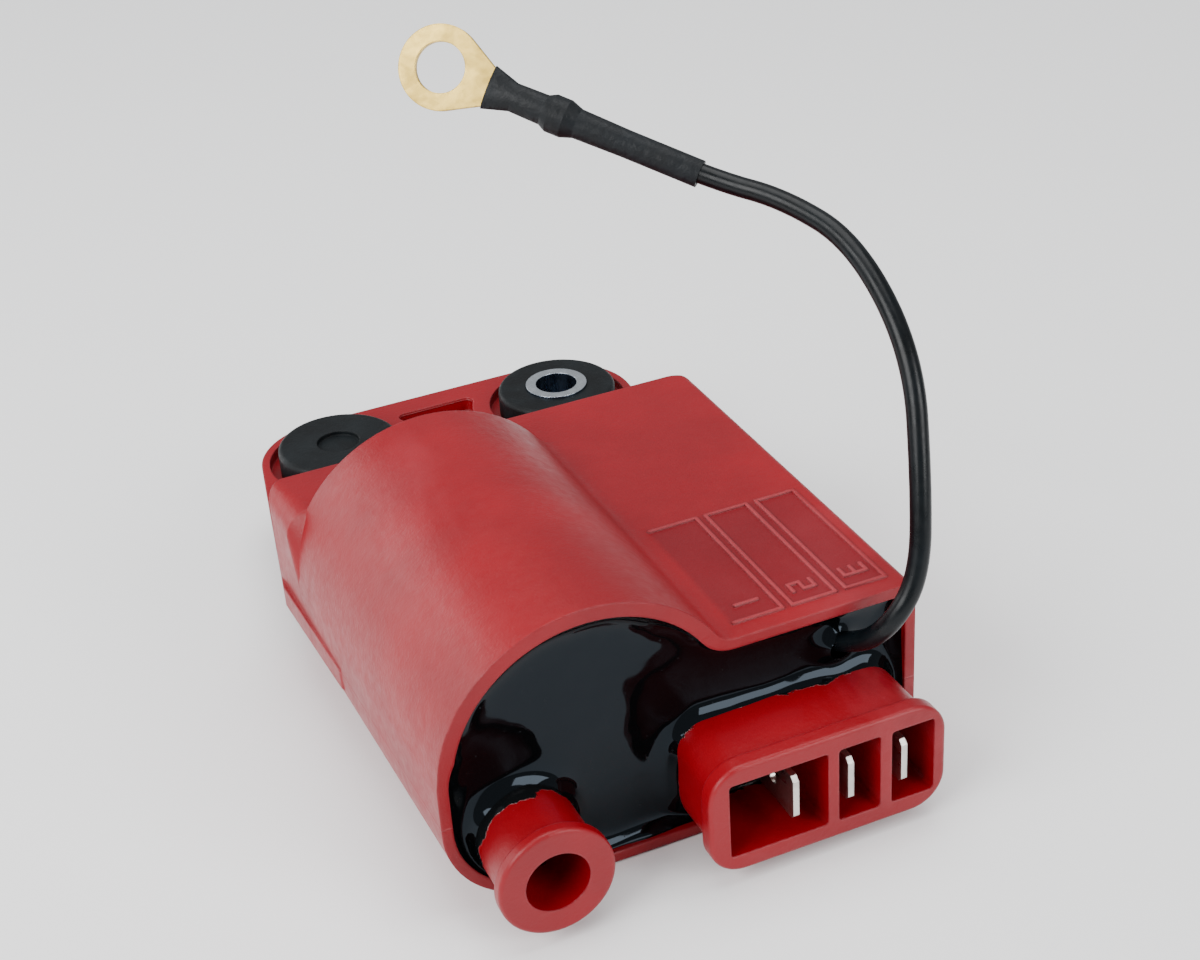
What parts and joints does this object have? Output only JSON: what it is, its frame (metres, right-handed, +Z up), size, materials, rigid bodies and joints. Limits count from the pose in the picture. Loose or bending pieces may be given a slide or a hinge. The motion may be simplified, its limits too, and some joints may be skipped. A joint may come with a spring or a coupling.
{
  "type": "ignition coil unit",
  "caption": "Small-engine CDI ignition unit: red potted housing with a built-in coil, high-tension tower, shrouded tab connector, earth lead and a rear flange with rubber mounts.",
  "frame": {"origin": "on the flat base, under the middle of the unit measured without its earth lead", "axes": "+Z up from the flat base; the open, resin-filled mouth with the tower and connector faces -Y; the mounting flange points to +Y; +X is to the right seen from the mouth"},
  "size_m": [0.0675, 0.111, 0.0859],
  "materials": {
    "red_plastic": "satin",
    "tinned_brass": "tinned",
    "brass": "plain",
    "core_steel": "plain",
    "bobbin_plastic": "plain",
    "copper_wire": "enamelled copper",
    "tinned_wire": "tinned",
    "board_laminate": "glass laminate",
    "capacitor_case": "plain",
    "component_black": "plain",
    "resistor_body": "plain",
    "lead_insulation": "smooth",
    "sleeving": "heat shrunk",
    "terminal_brass": "tarnished",
    "grommet_rubber": "plain",
    "plated_steel": "zinc plated",
    "potting_resin": "cast, glossy"
  },
  "bodies": {
    "root": {"housing": "red_plastic", "connector_shell": "red_plastic", "ht_tower": "red_plastic", "terminal_blade_1": "tinned_brass", "terminal_blade_2": "tinned_brass", "terminal_blade_3": "tinned_brass", "ht_contact": "brass", "core_laminations": "core_steel", "primary_bobbin": "bobbin_plastic", "secondary_bobbin": "bobbin_plastic", "primary_winding": "copper_wire", "secondary_winding": "copper_wire", "ht_link_wire": "tinned_wire", "primary_link_wires": "tinned_wire", "circuit_board": "board_laminate", "storage_capacitor": "capacitor_case", "thyristor": "component_black", "diodes": "component_black", "resistors": "resistor_body", "earth_tab": "tinned_wire", "earth_lead": "lead_insulation", "heat_shrink_sleeve": "sleeving", "ring_terminal": "terminal_brass", "grommet_left": "grommet_rubber", "grommet_right": "grommet_rubber", "mounting_sleeve": "plated_steel", "potting_resin": "potting_resin"}
  },
  "joints": []
}
